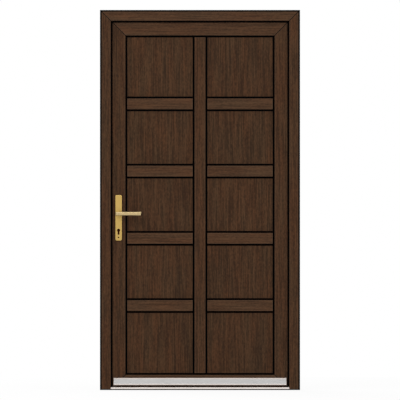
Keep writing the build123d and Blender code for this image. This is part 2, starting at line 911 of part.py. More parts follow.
def bead_profile():
    """A glazing bead: x is 0 at the wall that it clips to, and grows over the panel."""
    return polygon(
        (0, panel_back), (0, sash_back), (bead_flat, sash_back),
        (bead_width, panel_back + bead_toe), (bead_width, panel_back),
    )


def field_beads(low_z, high_z):
    """The four mitred beads of a left-hand field."""
    low_x, high_x = -wall_x, -half_web
    middle_x, middle_z = (low_x + high_x) / 2, (low_z + high_z) / 2
    side = Pos(low_x, 0, low_z) * extrude(bead_profile(), amount=high_z - low_z, dir=(0, 0, 1))
    side = split(side, bisect_by=Plane(origin=(low_x, 0, high_z), z_dir=(1, 0, 1)), keep=Keep.BOTTOM)
    side = split(side, bisect_by=Plane(origin=(low_x, 0, low_z), z_dir=(1, 0, -1)), keep=Keep.BOTTOM)
    plane = Plane(origin=(low_x, 0, high_z), x_dir=(0, 0, -1), z_dir=(1, 0, 0))
    top = plane * extrude(bead_profile(), amount=high_x - low_x, dir=(0, 0, 1))
    top = split(top, bisect_by=Plane(origin=(low_x, 0, high_z), z_dir=(1, 0, 1)), keep=Keep.TOP)
    top = split(top, bisect_by=Plane(origin=(high_x, 0, high_z), z_dir=(-1, 0, 1)), keep=Keep.TOP)
    across = Plane(origin=(middle_x, 0, 0), z_dir=(1, 0, 0))
    level = Plane(origin=(0, 0, middle_z), z_dir=(0, 0, 1))
    return [side, mirror(side, about=across), top, mirror(top, about=level)]


def glazing_beads():
    left = [bead for span in row_spans() for bead in field_beads(*span)]
    return left + [mirrored_x(bead) for bead in left]


def leaf_gasket():
    """The seal on the leaf's flange, and the sweep under its bottom rail."""
    start = -flange + (flange_overlap - leaf_gasket_width) / 2
    profile = rect(start, frame_back + seal_clearance, start + leaf_gasket_width, flange_front)
    side = mitred_left(on_left(profile, sash_edge, leaf_bottom, frame_height))
    seal = side + mirrored_x(side) + mitred_top(on_top(profile, sash_edge))
    reach = half_width - frame_face
    low_y, low_z = sash_front + sweep_setback, tread_top + seal_clearance
    sweep_strip = block((-reach, low_y, low_z), (reach, low_y + sweep_width, leaf_bottom))
    return [seal, sweep_strip]


# Weather bar; its section is drawn outwards from the face of the leaf
def weather_bar():
    face, wall, reach = sash_front, weather_bar_wall, weather_bar_reach
    top, bottom = weather_bar_top, weather_bar_bottom
    eaves = bottom + weather_bar_drip
    foot = bottom + weather_bar_foot
    section = polygon(
        (face, foot), (face, top), (face - weather_bar_shoulder, top), (face - reach, eaves),
        (face - reach, bottom), (face - reach + wall, bottom), (face - reach + wall, eaves),
        (face - wall, top - wall), (face - wall, foot),
    )
    end = weather_bar_length / 2 - end_cap_thickness
    return along_x(section, -end, end)


def weather_bar_end_caps():
    face, reach = sash_front, weather_bar_reach
    section = polygon(
        (face, weather_bar_bottom), (face, weather_bar_top), (face - weather_bar_shoulder, weather_bar_top),
        (face - reach, weather_bar_bottom + weather_bar_drip), (face - reach, weather_bar_bottom),
    )
    end = weather_bar_length / 2
    cap = along_x(section, -end, end_cap_thickness - end)
    return [cap, mirrored_x(cap)]


# Handle
def outside_plate():
    sketch = RectangleRounded(plate_width, plate_height, plate_corner)
    plate = along_y(sketch, spindle_x, plate_z, plate_front, sash_front)
    plate = fillet(plate.faces().sort_by(Axis.Y)[0].edges(), plate_edge_round)
    collar = rod_along_y(collar_radius, spindle_x, handle_height, plate_front - collar_height, sash_front)
    collar = fillet(collar.faces().sort_by(Axis.Y)[0].edges(), collar_height / 2)
    low_y = plate_front - collar_height - overrun
    return plate + collar - [
        rod_along_y(neck_radius + neck_clearance, spindle_x, handle_height, low_y, sash_front + overrun),
        along_y(cylinder_section(cylinder_clearance), spindle_x, cylinder_z, low_y, sash_front + overrun),
    ]


def drilled_outside_plate():
    bolt = screw_holes(inside_plate_screw_places()[1:])
    return cut(outside_plate(), screw_holes(outside_plate_screw_places()) + bolt)


def mirrored_through_leaf(part):
    """The indoor twin of an outdoor piece."""
    return mirror(part, about=Plane(origin=(0, leaf_middle_y, 0), z_dir=(0, 1, 0)))


def drilled_inside_plate():
    return cut(mirrored_through_leaf(outside_plate()), screw_holes(inside_plate_screw_places()))


def outside_lever():
    """A lofted grip on a round neck, with a slanted end and a square socket for the spindle."""
    grip_y = plate_front - lever_projection + lever_thickness / 2
    whole = lever_heel + lever_length
    sections = []
    for along_share, height_share, thickness_share in lever_section_shares:
        thickness = lever_thickness * thickness_share
        x = spindle_x - lever_heel + whole * along_share
        plane = Plane(origin=(x, grip_y, handle_height), x_dir=(0, 1, 0), z_dir=(1, 0, 0))
        outline = RectangleRounded(thickness, lever_height * height_share, thickness * lever_corner_share)
        sections.append(plane * outline)
    grip = loft(sections)
    grip = fillet(grip.faces().sort_by(Axis.X)[0].edges(), lever_heel_round)
    end = Plane(origin=(spindle_x + lever_length, grip_y, handle_height), z_dir=(1, 0, 0))
    end = end.rotated((0, lever_end_slant, 0))
    grip = split(grip, bisect_by=end, keep=Keep.BOTTOM)
    grip = fillet(grip.faces().sort_by(Axis.X)[-1].edges(), lever_tip_round)
    neck = rod_along_y(neck_radius, spindle_x, handle_height, grip_y, sash_front - neck_clearance)
    side = spindle_side / 2 + spindle_clearance
    socket_end = plate_front - spindle_grip - spindle_clearance
    socket = block(
        (spindle_x - side, socket_end, handle_height - side),
        (spindle_x + side, sash_front, handle_height + side),
    )
    return grip + neck - socket


def spindle():
    half = spindle_side / 2
    return block(
        (spindle_x - half, plate_front - spindle_grip, handle_height - half),
        (spindle_x + half, sash_back + plate_thickness + spindle_grip, handle_height + half),
    )


# Lock
def faceplate():
    half = faceplate_width / 2
    plate = block((lock_edge, lock_y - half, faceplate_bottom), (case_start, lock_y + half, faceplate_top))
    plate = fillet(plate.edges().filter_by(Axis.X), half - groove_clearance)
    openings = [
        (latch_z - latch_height / 2, latch_z + latch_height / 2, latch_thickness),
        (deadbolt_z - deadbolt_height / 2, deadbolt_z + deadbolt_height / 2, latch_thickness),
        (*hook_span(upper_hook_z, 1), hook_thickness),
        (*hook_span(lower_hook_z, -1), hook_thickness),
    ]
    tools = []
    for low, high, thickness in openings:
        reach = thickness / 2 + bolt_clearance
        tools.append(block(
            (lock_edge - overrun, lock_y - reach, low - bolt_clearance),
            (case_start + overrun, lock_y + reach, high + bolt_clearance),
        ))
    return cut(plate, tools + screw_holes(faceplate_screw_places() + cylinder_screw_places()))


def case_shell(low_z, high_z, end_x):
    """A pressed case behind the faceplate, open towards it."""
    half = case_thickness / 2
    outer = block((case_start, lock_y - half, low_z), (end_x, lock_y + half, high_z))
    inner = block(
        (case_start - overrun, lock_y - half + case_wall, low_z + case_wall),
        (end_x - case_wall, lock_y + half - case_wall, high_z - case_wall),
    )
    return outer - inner


def gearbox_case():
    low_y, high_y = lock_y - case_thickness, lock_y + case_thickness
    bore = rod_along_y(follower_journal + follower_clearance, spindle_x, handle_height, low_y, high_y)
    opening = along_y(cylinder_section(cylinder_clearance), spindle_x, cylinder_z, low_y, high_y)
    return case_shell(case_bottom, case_top, spindle_x + case_reach) - bore - opening


def hook_case(z, turn):
    """The case of a hook, with the pin that the hook turns on."""
    ends = (z - turn * hook_case_foot, z + turn * hook_case_head)
    half = case_thickness / 2
    pin = rod_along_y(hook_pin_radius, hook_x, z, lock_y - half, lock_y + half)
    return case_shell(min(ends), max(ends), lock_edge + hook_case_depth) + pin


def follower():
    half_inside = case_thickness / 2 - case_wall - follower_clearance
    half = case_thickness / 2
    low_y, high_y = lock_y - half_inside, lock_y + half_inside
    hub = rod_along_y(follower_radius, spindle_x, handle_height, low_y, high_y)
    journal = rod_along_y(follower_journal, spindle_x, handle_height, lock_y - half, lock_y + half)
    nose = block(
        (spindle_x - follower_nose_width / 2, low_y, handle_height),
        (spindle_x + follower_nose_width / 2, high_y, handle_height + follower_nose),
    )
    side = spindle_side / 2 + spindle_clearance
    hole = block(
        (spindle_x - side, lock_y - case_thickness, handle_height - side),
        (spindle_x + side, lock_y + case_thickness, handle_height + side),
    )
    return hub + journal + nose - hole


def latch_bolt():
    """The spring latch, bevelled on the side that meets the keep as the door closes."""
    low_y, high_y = lock_y - latch_thickness / 2, lock_y + latch_thickness / 2
    nose_x, tail_x = lock_edge - latch_throw, lock_edge + bolt_tail
    outline = polygon(
        (nose_x, high_y), (tail_x, high_y), (tail_x, low_y),
        (lock_edge, low_y), (nose_x, high_y - latch_nose),
    )
    return Pos(0, 0, latch_z - latch_height / 2) * extrude(outline, amount=latch_height, dir=(0, 0, 1))


def deadbolt():
    half_y, half_z = latch_thickness / 2, deadbolt_height / 2
    bolt = block(
        (lock_edge + deadbolt_recess, lock_y - half_y, deadbolt_z - half_z),
        (lock_edge + bolt_tail, lock_y + half_y, deadbolt_z + half_z),
    )
    return chamfer(bolt.faces().sort_by(Axis.X)[0].edges(), deadbolt_bevel)


def hook(z, turn):
    """A hook at rest in its case, with its beak turned inwards; it swings out through the faceplate."""
    half = hook_arm_width / 2
    inner_z = hook_reach - hook_beak_height
    arm = rect(-half, 0, half, hook_reach)
    beak = rect(-half, inner_z, hook_beak_length, hook_reach)
    corners = (-half, hook_reach), (hook_beak_length, hook_reach), (half, inner_z)
    sketch = rounded(Circle(hook_boss_radius) + arm + beak, hook_round, *corners)
    sketch = sketch - Circle(hook_pin_radius + pin_clearance)
    low_y, high_y = lock_y - hook_thickness / 2, lock_y + hook_thickness / 2
    piece = along_y(sketch, hook_x, z, low_y, high_y)
    if turn < 0:
        piece = mirror(piece, about=Plane(origin=(0, 0, z), z_dir=(0, 0, 1)))
    return piece


def drive_rods():
    """The flat rods in the groove behind the faceplate, which slide up to throw the hooks."""
    low_x = case_start + rod_groove_clearance
    half = rod_width / 2
    spans = (
        (case_top + rod_end_gap, upper_hook_z - hook_case_foot - rod_travel - rod_end_gap),
        (lower_hook_z + hook_case_foot + rod_end_gap, case_bottom - rod_travel - rod_end_gap),
    )
    return [block((low_x, lock_y - half, low), (low_x + rod_thickness, lock_y + half, high))
            for low, high in spans]


# Profile cylinder
def cylinder_section(clearance=0.0):
    leg_radius = cylinder_leg_radius + clearance
    leg = rect(-leg_radius, -cylinder_leg, leg_radius, 0)
    return Circle(cylinder_radius + clearance) + leg + Pos(0, -cylinder_leg) * Circle(leg_radius)


def cylinder_ends():
    return plate_front + cylinder_recess, sash_back + plate_thickness - cylinder_recess


def cam_span():
    half = cam_thickness / 2 + cam_gap
    return lock_y - half, lock_y + half


def cylinder_body():
    low_y, high_y = cylinder_ends()
    body = along_y(cylinder_section(), spindle_x, cylinder_z, low_y, high_y)
    bore = rod_along_y(plug_radius + plug_clearance, spindle_x, cylinder_z, low_y - overrun, high_y + overrun)
    cam_low, cam_high = cam_span()
    cam_slot = rod_along_y(cam_radius + cam_gap, spindle_x, cylinder_z, cam_low, cam_high)
    return cut(body - bore - cam_slot, screw_holes(cylinder_screw_places()))


def key_plug():
    """The two plugs with their key slots, and the cam between them."""
    low_y, high_y = cylinder_ends()
    cam_low, cam_high = cam_span()
    outer = rod_along_y(plug_radius, spindle_x, cylinder_z, low_y, cam_low + cam_gap)
    inner = rod_along_y(plug_radius, spindle_x, cylinder_z, cam_high - cam_gap, high_y)
    slot = rect(-key_slot_width / 2, -key_slot_height / 2, key_slot_width / 2, key_slot_height / 2)
    outer = outer - along_y(slot, spindle_x, cylinder_z, low_y - overrun, low_y + key_slot_depth)
    inner = inner - along_y(slot, spindle_x, cylinder_z, high_y - key_slot_depth, high_y + overrun)
    nose = rect(-cam_width / 2, -cam_radius, cam_width / 2, 0) & Circle(cam_radius)
    cam = along_y(Circle(plug_radius) + nose, spindle_x, cylinder_z, cam_low + cam_gap, cam_high - cam_gap)
    return [outer, cam, inner]


# Hinges
def knuckle(low_z, high_z, radius):
    return Pos(hinge_x, hinge_y, (low_z + high_z) / 2) * Cylinder(radius, high_z - low_z)


def frame_bracket(z):
    """The half of a hinge that is screwed to the jamb: a plate and two arms with knuckles."""
    low_x = flange_tip_x + hinge_arm_gap
    half = hinge_length / 2
    plate = block(
        (low_x, frame_back, z - half),
        (low_x + frame_plate_width, frame_back + frame_plate_thickness, z + half),
    )
    plate = fillet(plate.edges().filter_by(Axis.Y).group_by(Axis.X)[-1], hinge_corner)
    for low in (z - half, z + half - knuckle_height):
        high = low + knuckle_height
        plate = plate + block((low_x, frame_back, low), (hinge_x + knuckle_radius, hinge_y, high))
        plate = plate + knuckle(low, high, knuckle_radius)
    return plate - knuckle(z - half - overrun, z + half + overrun, hinge_pin_radius + hinge_pin_clearance)


def frame_brackets():
    holes = screw_holes(frame_hinge_screw_places())
    return [cut(frame_bracket(z), holes) for z in hinge_heights]


def leaf_bracket(z):
    """The half of a hinge that is screwed to the leaf: a plate, and a web to the middle knuckle."""
    high_x = flange_tip_x - leaf_plate_inset
    half = leaf_plate_height / 2
    plate = block(
        (high_x - leaf_plate_width, sash_back, z - half),
        (high_x, sash_back + leaf_plate_thickness, z + half),
    )
    plate = fillet(plate.edges().filter_by(Axis.Y), hinge_corner)
    reach = middle_knuckle_height / 2
    web = block((high_x - leaf_web_width, sash_back, z - reach), (hinge_x, hinge_y, z + reach))
    bore = knuckle(z - half, z + half, hinge_pin_radius + hinge_pin_clearance + bush_wall + bush_clearance)
    return plate + web + knuckle(z - reach, z + reach, knuckle_radius) - bore


def leaf_brackets():
    holes = screw_holes(leaf_hinge_screw_places())
    return [cut(leaf_bracket(z), holes) for z in hinge_heights]


def hinge_bush(z):
    """A flanged sleeve in the middle knuckle, which runs on the pin."""
    reach = middle_knuckle_height / 2
    inner = hinge_pin_radius + hinge_pin_clearance
    sleeve = knuckle(z - reach, z + reach, inner + bush_wall)
    sleeve = sleeve + knuckle(z + reach, z + reach + bush_flange, knuckle_radius)
    sleeve = sleeve + knuckle(z - reach - bush_flange, z - reach, knuckle_radius)
    return sleeve - knuckle(z - hinge_length, z + hinge_length, inner)


def hinge_pin(z):
    half = hinge_length / 2
    cap = hinge_cap_height
    pin = knuckle(z - half, z + half, hinge_pin_radius)
    return pin + knuckle(z + half, z + half + cap, knuckle_radius - cap)


def frame_screws():
    return screws(all_keep_screw_places() + frame_hinge_screw_places() + tread_screw_places())


def leaf_screws():
    return screws(
        leaf_hinge_screw_places() + faceplate_screw_places() + cylinder_screw_places()
        + outside_plate_screw_places() + inside_plate_screw_places()
    )


# Writing the pieces, one file for each node
def save(name, shape):
    shapes = shape if isinstance(shape, list) else [shape]
    solids = [solid for piece in shapes for solid in piece.solids()]
    export_step(solids[0] if len(solids) == 1 else Compound(solids), f"parts/{name}.step")


def save_frame():
    save("left_jamb", left_jamb())
    save("right_jamb", right_jamb())
    save("head", head())
    save("frame_steels", frame_steels())
    save("frame_gasket", [frame_gasket(), edge_seal()])
    save("threshold_base", threshold_base())
    save("threshold_cover", threshold_cover())
    save("main_keep", main_keep())
    save("hook_keeps", hook_keeps())
    save("hinge_frame_brackets", frame_brackets())
    save("hinge_pins", [hinge_pin(z) for z in hinge_heights])
    save("frame_screws", frame_screws())


def save_leaf():
    save("lock_stile", lock_stile())
    save("hinge_stile", hinge_stile())
    save("top_rail", top_rail())
    save("bottom_rail", bottom_rail())
    save("leaf_steels", leaf_steels())
    save("centre_bar", centre_bar())
    for row, z in enumerate(bar_heights, start=1):
        bar = cross_bar(z)
        save(f"cross_bar_left_{row}", bar)
        save(f"cross_bar_right_{row}", mirrored_x(bar))
    for row, span in enumerate(row_spans(), start=1):
        infill = panel(*span)
        save(f"panel_left_{row}", infill)
        save(f"panel_right_{row}", mirrored_x(infill))
    save("panel_gaskets", panel_gaskets())
    save("glazing_beads", glazing_beads())
    save("leaf_gasket", leaf_gasket())
    save("weather_bar", weather_bar())
    save("weather_bar_end_caps", weather_bar_end_caps())
    save("hinge_leaf_brackets", leaf_brackets())
    save("hinge_bushes", [hinge_bush(z) for z in hinge_heights])
    save("leaf_screws", leaf_screws())


def save_lock():
    save("outside_plate", drilled_outside_plate())
    save("inside_plate", drilled_inside_plate())
    lever = outside_lever()
    save("outside_lever", lever)
    save("inside_lever", mirrored_through_leaf(lever))
    save("spindle", spindle())
    save("follower", follower())
    save("lock_faceplate", faceplate())
    save("gearbox_case", gearbox_case())
    save("hook_cases", [hook_case(upper_hook_z, 1), hook_case(lower_hook_z, -1)])
    save("latch_bolt", latch_bolt())
    save("deadbolt", deadbolt())
    save("upper_hook", hook(upper_hook_z, 1))
    save("lower_hook", hook(lower_hook_z, -1))
    save("drive_rods", drive_rods())
    save("cylinder_body", cylinder_body())
    save("key_plug", key_plug())


os.makedirs("parts", exist_ok=True)
save_frame()
save_leaf()
save_lock()
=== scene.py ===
import json
import math

import bpy
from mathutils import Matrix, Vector


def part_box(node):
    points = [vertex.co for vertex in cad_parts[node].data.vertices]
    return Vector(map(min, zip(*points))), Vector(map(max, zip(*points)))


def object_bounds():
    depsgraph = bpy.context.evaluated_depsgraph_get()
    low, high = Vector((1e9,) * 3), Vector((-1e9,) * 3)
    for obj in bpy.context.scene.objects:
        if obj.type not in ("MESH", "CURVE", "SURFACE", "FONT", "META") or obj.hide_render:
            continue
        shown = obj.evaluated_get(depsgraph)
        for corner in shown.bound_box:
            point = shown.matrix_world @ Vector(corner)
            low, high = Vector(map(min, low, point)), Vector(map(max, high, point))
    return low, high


# The looks of a panelled front door. Metres, in the part's own frame:
# seen from outdoors +X is right and +Z is up; +Y runs into the house.
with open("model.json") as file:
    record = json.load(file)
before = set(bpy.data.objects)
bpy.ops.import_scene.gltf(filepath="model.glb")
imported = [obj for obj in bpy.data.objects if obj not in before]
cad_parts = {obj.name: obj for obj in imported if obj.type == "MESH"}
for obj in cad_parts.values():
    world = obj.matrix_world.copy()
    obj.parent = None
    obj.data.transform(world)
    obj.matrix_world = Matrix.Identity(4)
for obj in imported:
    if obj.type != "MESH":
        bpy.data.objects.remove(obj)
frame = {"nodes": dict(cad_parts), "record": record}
cad_low, cad_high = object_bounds()

# Camera: a long lens, square to the outdoor face, as in a drawn elevation
image_pixels = 400
pixel_span = 0.0055
lens = 900.0
sensor = 36.0
level_view = math.radians(90)

# Stage and light
floor_half = 4.0
floor_drop = 0.0005
floor_grey = 0.9
floor_pale = 1.04
floor_white_share = 0.9
floor_cloud = 0.6
floor_roughness = 0.8
sky_strength = 0.62
white = (1.0, 1.0, 1.0, 1.0)
lamp_size = 6.5
lamps = {
    "key_lamp": ((-4.1, -10.2, 7.0), 430.0),
    "fill_lamp": ((6.8, -8.5, 3.7), 175.0),
    "back_lamp": ((-4.2, 10.2, 6.4), 490.0),
}

# Places where a finish changes, and where shade or a highlight is painted
half_width = cad_high.x
top = cad_high.z
sight_x = -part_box("lock_stile")[1].x
sight_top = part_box("top_rail")[0].z
bottom_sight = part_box("bottom_rail")[1].z
bead_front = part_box("glazing_beads")[0].y
bar_low, bar_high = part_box("weather_bar")
plate_low, plate_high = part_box("outside_plate")
mitre_half = 0.0022
mitre_fade = 1.5
bead_seal = 0.003
bar_rim = 0.006

# Sizes of the foil's grain, across and along, of the softened edges, and of the bands along the foil's and
# the handle plates' edges where a paler highlight is painted
band_sizes = (0.045, 0.30)
streak_sizes = (0.006, 0.17)
fine_sizes = (0.0055, 0.014)
pore_sizes = (0.0009, 0.022)
foil_bump = 0.0004
edge_highlight_band = 0.008
edge_round = 0.0012
plate_highlight_band = 0.006

# Rays that a softened edge is found with
bevel_samples = 4

# Sizes of the other surfaces' detail
skin_size = 0.0007
skin_cloud = 0.045
metal_cloud = 0.05
spangle_size = 0.006
peel_size = 0.0014
paint_cloud = 0.03
across_lines = (0.05, 0.0005, 0.0005)
up_lines = (0.0005, 0.0005, 0.05)

# How many layers of ever finer detail a noise has
plain_detail = 2.0
fine_detail = 3.0

# How strongly relief shows, and by what the size along X of its detail is divided for its height
foil_relief = 0.35
skin_relief = 0.25
skin_flatness = 4
brush_relief = 0.12
brush_flatness = 8
peel_relief = 0.2
peel_flatness = 7

# Ranges that noise is stretched from; a narrow range gives harder patches
unit_range = (0.0, 1.0)
soft_range = (0.35, 0.65)
full_range = (0.3, 0.7)
grain_range = (0.40, 0.60)
pore_range = (0.54, 0.61)

# How far a rounded normal agrees with the face's own, where an edge starts and where it is full
edge_range = (0.995, 0.88)

# Ranges of roughness, and how far it strays below and above a finish's own
foil_roughness = (0.46, 0.62)
zinc_roughness = (0.34, 0.5)
paint_roughness = (0.34, 0.48)
skin_stray = (0.06, 0.08)
brush_stray = (0.06, 0.06)

# Sheen of foil and paint
foil_sheen = 0.08
paint_sheen = 0.3

# Shares in the foil's pattern and in the painted highlight on its edges
streak_share = 0.6
pore_share = 0.6
edge_highlight_share = 0.7
reddish = (1.06, 0.97, 0.92, 1.0)
olive = (0.95, 1.02, 1.05, 1.0)

# Tones against a finish's own colour
skin_pale = 1.18
brush_dark = 0.92
zinc_dark = 0.8
paint_pale = 1.25
# Paler tone for edges: scuffing on most metals, a painted highlight on the handle plates
wear_and_highlight_tone = (1.22, 1.22, 1.22, 1.0)

# Shares of scuffing on edges, of the painted highlight on the handle plates' edges, and of clouds in brushed
# metal
metal_wear = 0.3
plate_edge_highlight = 0.6
paint_wear = 0.4
metal_cloud_share = 0.4

# Sockets of a mix node that colours use: share, first and second, and the result
mix_inputs = (0, 6, 7)
mix_output = 2


def srgb(red, green, blue):
    """A colour written in screen levels from 0 to 255, as shaders take it, by the usual screen curve."""
    levels = [level / 255 for level in (red, green, blue)]
    linear = [v / 12.92 if v <= 0.04045 else ((v + 0.055) / 1.055) ** 2.4 for v in levels]
    return (*linear, 1.0)


def tone(colour, factor):
    """A darker or paler tone of a colour."""
    return tuple(min(1.0, v * factor) for v in colour[:3]) + (1.0,)


def strayed(roughness, stray):
    """The range of roughness round a finish's own."""
    below, above = stray
    return roughness - below, roughness + above


class Finish:
    """A material, with short calls that add nodes to it."""

    def __init__(self, name):
        self.material = bpy.data.materials.new(name)
        self.material.use_nodes = True
        self.tree = self.material.node_tree
        self.surface = self.tree.nodes["Principled BSDF"]
        self.place = self.add("ShaderNodeTexCoord").outputs["Object"]

    def add(self, kind, inputs=None, **settings):
        node = self.tree.nodes.new(kind)
        for key, value in settings.items():
            setattr(node, key, value)
        for key, value in (inputs or {}).items():
            self.feed(node.inputs[key], value)
        return node

    def feed(self, socket, value):
        if isinstance(value, bpy.types.NodeSocket):
            self.tree.links.new(value, socket)
        else:
            socket.default_value = value

    def set(self, **values):
        """Values and links for the shader's own sockets, named with underscores for spaces."""
        for key, value in values.items():
            self.feed(self.surface.inputs[key.replace("_", " ")], value)

    def math(self, operation, first, second=0.0):
        return self.add("ShaderNodeMath", {0: first, 1: second}, operation=operation).outputs[0]

    def axes(self):
        split = self.add("ShaderNodeSeparateXYZ", {0: self.place})
        return split.outputs["X"], split.outputs["Y"], split.outputs["Z"]

    def scaled(self, sizes):
        scale = [1 / size for size in sizes]
        return self.add("ShaderNodeMapping", {"Vector": self.place, "Scale": scale}).outputs[0]

    def noise(self, sizes, detail=plain_detail):
        """Noise whose patches have the given sizes along X, Y and Z."""
        inputs = {"Vector": self.scaled(sizes), "Scale": 1.0, "Detail": detail}
        return self.add("ShaderNodeTexNoise", inputs).outputs["Fac"]

    def spread(self, value, source, target=unit_range):
        """The value moved from one range to another, and kept inside it."""
        inputs = {"Value": value, "From Min": source[0], "From Max": source[1],
                  "To Min": target[0], "To Max": target[1]}
        return self.add("ShaderNodeMapRange", inputs).outputs["Result"]

    def blend(self, share, first, second):
        """A value between two values."""
        parts = (self.math("MULTIPLY", first, 1 - share), self.math("MULTIPLY", second, share))
        return self.math("ADD", *parts)

    def mix(self, share, first, second, kind="MIX"):
        """A colour between two colours, or a product of them."""
        node = self.add("ShaderNodeMix", data_type="RGBA", blend_type=kind)
        for index, value in zip(mix_inputs, (share, first, second)):
            self.feed(node.inputs[index], value)
        return node.outputs[mix_output]

    def soft_edges(self, radius):
        return self.add("ShaderNodeBevel", {"Radius": radius}, samples=bevel_samples).outputs[0]

    def edges(self, rounded, share):
        """A share on the edges that a rounded normal finds, 0 on flat faces."""
        normal = self.add("ShaderNodeNewGeometry").outputs["Normal"]
        dot = self.add("ShaderNodeVectorMath", {0: rounded, 1: normal}, operation="DOT_PRODUCT")
        return self.spread(dot.outputs["Value"], edge_range, (0.0, share))

    def bump(self, height, strength, distance, normal):
        inputs = {"Height": height, "Strength": strength, "Distance": distance, "Normal": normal}
        self.set(Normal=self.add("ShaderNodeBump", inputs).outputs[0])


# Masks
def mitre_shade_mask(finish):
    """1 in the grooves of the welded corners, where shade is painted."""
    x, _, z = finish.axes()
    side = finish.math("ABSOLUTE", x)
    upper = finish.math("SUBTRACT", finish.math("SUBTRACT", z, side), top - half_width)
    lower = finish.math("SUBTRACT", finish.math("ADD", z, side), sight_x + bottom_sight)
    masks = []
    for distance, height, sign in ((upper, sight_top, 1.0), (lower, bottom_sight, -1.0)):
        near = finish.spread(finish.math("ABSOLUTE", distance), (mitre_fade * mitre_half, mitre_half))
        beyond = finish.math("MULTIPLY", finish.math("SUBTRACT", z, height), sign)
        masks.append(finish.math("MULTIPLY", near, finish.spread(beyond, (-mitre_half, 0.0))))
    return finish.math("MAXIMUM", *masks)


def bead_seal_mask(finish):
    """1 on the soft lip along a bead's toe."""
    return finish.math("LESS_THAN", finish.axes()[1], bead_front + bead_seal)


def bar_rim_highlight_mask(finish):
    """1 on the rims along the weather bar's top and bottom, where a paler highlight is painted."""
    z = finish.axes()[2]
    upper = finish.math("GREATER_THAN", z, bar_high.z - bar_rim)
    return finish.math("MAXIMUM", upper, finish.math("LESS_THAN", z, bar_low.z + bar_rim))


def plate_mask(finish):
    """1 within the width of the handle plates."""
    offset = finish.math("SUBTRACT", finish.axes()[0], (plate_low.x + plate_high.x) / 2)
    return finish.math("LESS_THAN", finish.math("ABSOLUTE", offset), (plate_high.x - plate_low.x) / 2)


# Woodgrain foil
def along_grain(sizes, axis):
    """Sizes along X, Y and Z of a patch that lies along an axis."""
    across, length = sizes
    return [length if name == axis else across for name in "xyz"]


def foil(name, axis, shade, contrast, mask=None):
    """Embossed woodgrain foil, with its grain along an axis."""
    finish = Finish(name)
    band = finish.noise(along_grain(band_sizes, axis))
    streak = finish.noise(along_grain(streak_sizes, axis), fine_detail)
    fine = finish.noise(along_grain(fine_sizes, axis))
    pore = finish.spread(finish.noise(along_grain(pore_sizes, axis)), pore_range)
    grain = finish.blend(streak_share, fine, streak)
    dark, light = tone(shade, 1 - contrast), tone(shade, 1 + contrast)
    colour = finish.mix(finish.spread(grain, grain_range), dark, light)
    hue = finish.mix(finish.spread(band, soft_range), olive, reddish)
    colour = finish.mix(1.0, colour, hue, "MULTIPLY")
    colour = finish.mix(finish.math("MULTIPLY", pore, pore_share), colour, dark)
    # Paler edges: a painted highlight along the foil's rounded edges
    colour = finish.mix(finish.edges(finish.soft_edges(edge_highlight_band), edge_highlight_share), colour, painted_edge_highlight)
    if mask:
        # Inside the mask: painted shade in the mitre grooves, and the real dark of the soft lip on the beads
        colour = finish.mix(mask(finish), colour, groove_shade_and_seal_colour)
    height = finish.math("SUBTRACT", grain, finish.math("MULTIPLY", pore, pore_share))
    finish.bump(height, foil_relief, foil_bump, finish.soft_edges(edge_round))
    finish.set(Base_Color=colour, Roughness=finish.spread(fine, full_range, foil_roughness))
    finish.set(Specular_IOR_Level=foil_sheen)
    return finish.material


# Rubber and plain plastics
def moulded(name, colour, roughness, specular):
    """Moulded plastic or rubber with a fine skin."""
    finish = Finish(name)
    skin = finish.noise([skin_size] * 3, fine_detail)
    cloud = finish.noise([skin_cloud] * 3)
    finish.set(Base_Color=finish.mix(finish.spread(cloud, soft_range), colour, tone(colour, skin_pale)))
    finish.set(Roughness=finish.spread(skin, full_range, strayed(roughness, skin_stray)))
    finish.bump(skin, skin_relief, skin_size / skin_flatness, finish.soft_edges(edge_round))
    finish.set(Specular_IOR_Level=specular)
    return finish.material


# Metals
def brushed(name, colour, line_sizes, roughness, wear_and_highlight_band=edge_round, wear_and_highlight_share=metal_wear,
            mask=None, patch=None):
    """Metal with brush lines, paler along its edges, which is scuffing on most metals and a painted highlight
    on the handle plates, and of another colour inside a mask.
    """
    finish = Finish(name)
    lines = finish.noise(line_sizes, fine_detail)
    cloud = finish.noise([metal_cloud] * 3)
    shade = finish.spread(finish.blend(metal_cloud_share, lines, cloud), soft_range)
    base = finish.mix(mask(finish), colour, patch) if mask else colour
    base = finish.mix(1.0, base, finish.mix(shade, tone(white, brush_dark), white), "MULTIPLY")
    # Paler edges: scuffing on most metals, a painted highlight on the handle plates
    wear_and_highlight = finish.edges(finish.soft_edges(wear_and_highlight_band), wear_and_highlight_share)
    finish.set(Base_Color=finish.mix(wear_and_highlight, base, finish.mix(1.0, base, wear_and_highlight_tone, "MULTIPLY")))
    finish.set(Metallic=1.0)
    finish.set(Roughness=finish.spread(lines, full_range, strayed(roughness, brush_stray)))
    finish.bump(lines, brush_relief, line_sizes[0] / brush_flatness, finish.soft_edges(edge_round))
    return finish.material


def galvanised(name, colour):
    """Zinc-coated steel with its spangle."""
    finish = Finish(name)
    inputs = {"Vector": finish.scaled([spangle_size] * 3), "Scale": 1.0}
    cells = finish.add("ShaderNodeTexVoronoi", inputs)
    spangle = finish.add("ShaderNodeSeparateColor", {0: cells.outputs["Color"]}).outputs[0]
    finish.set(Base_Color=finish.mix(spangle, tone(colour, zinc_dark), colour), Metallic=1.0)
    finish.set(Roughness=finish.spread(spangle, unit_range, zinc_roughness))
    return finish.material


def painted(name, colour):
    """Powder-coated metal, with a fine orange peel."""
    finish = Finish(name)
    peel = finish.noise([peel_size] * 3)
    cloud = finish.noise([paint_cloud] * 3)
    paler = tone(colour, paint_pale)
    rounded = finish.soft_edges(edge_round)
    shade = finish.mix(finish.spread(cloud, soft_range), colour, paler)
    finish.set(Base_Color=finish.mix(finish.edges(rounded, paint_wear), shade, paler))
    finish.set(Roughness=finish.spread(peel, full_range, paint_roughness), Specular_IOR_Level=paint_sheen)
    finish.bump(peel, peel_relief, peel_size / peel_flatness, rounded)
    return finish.material
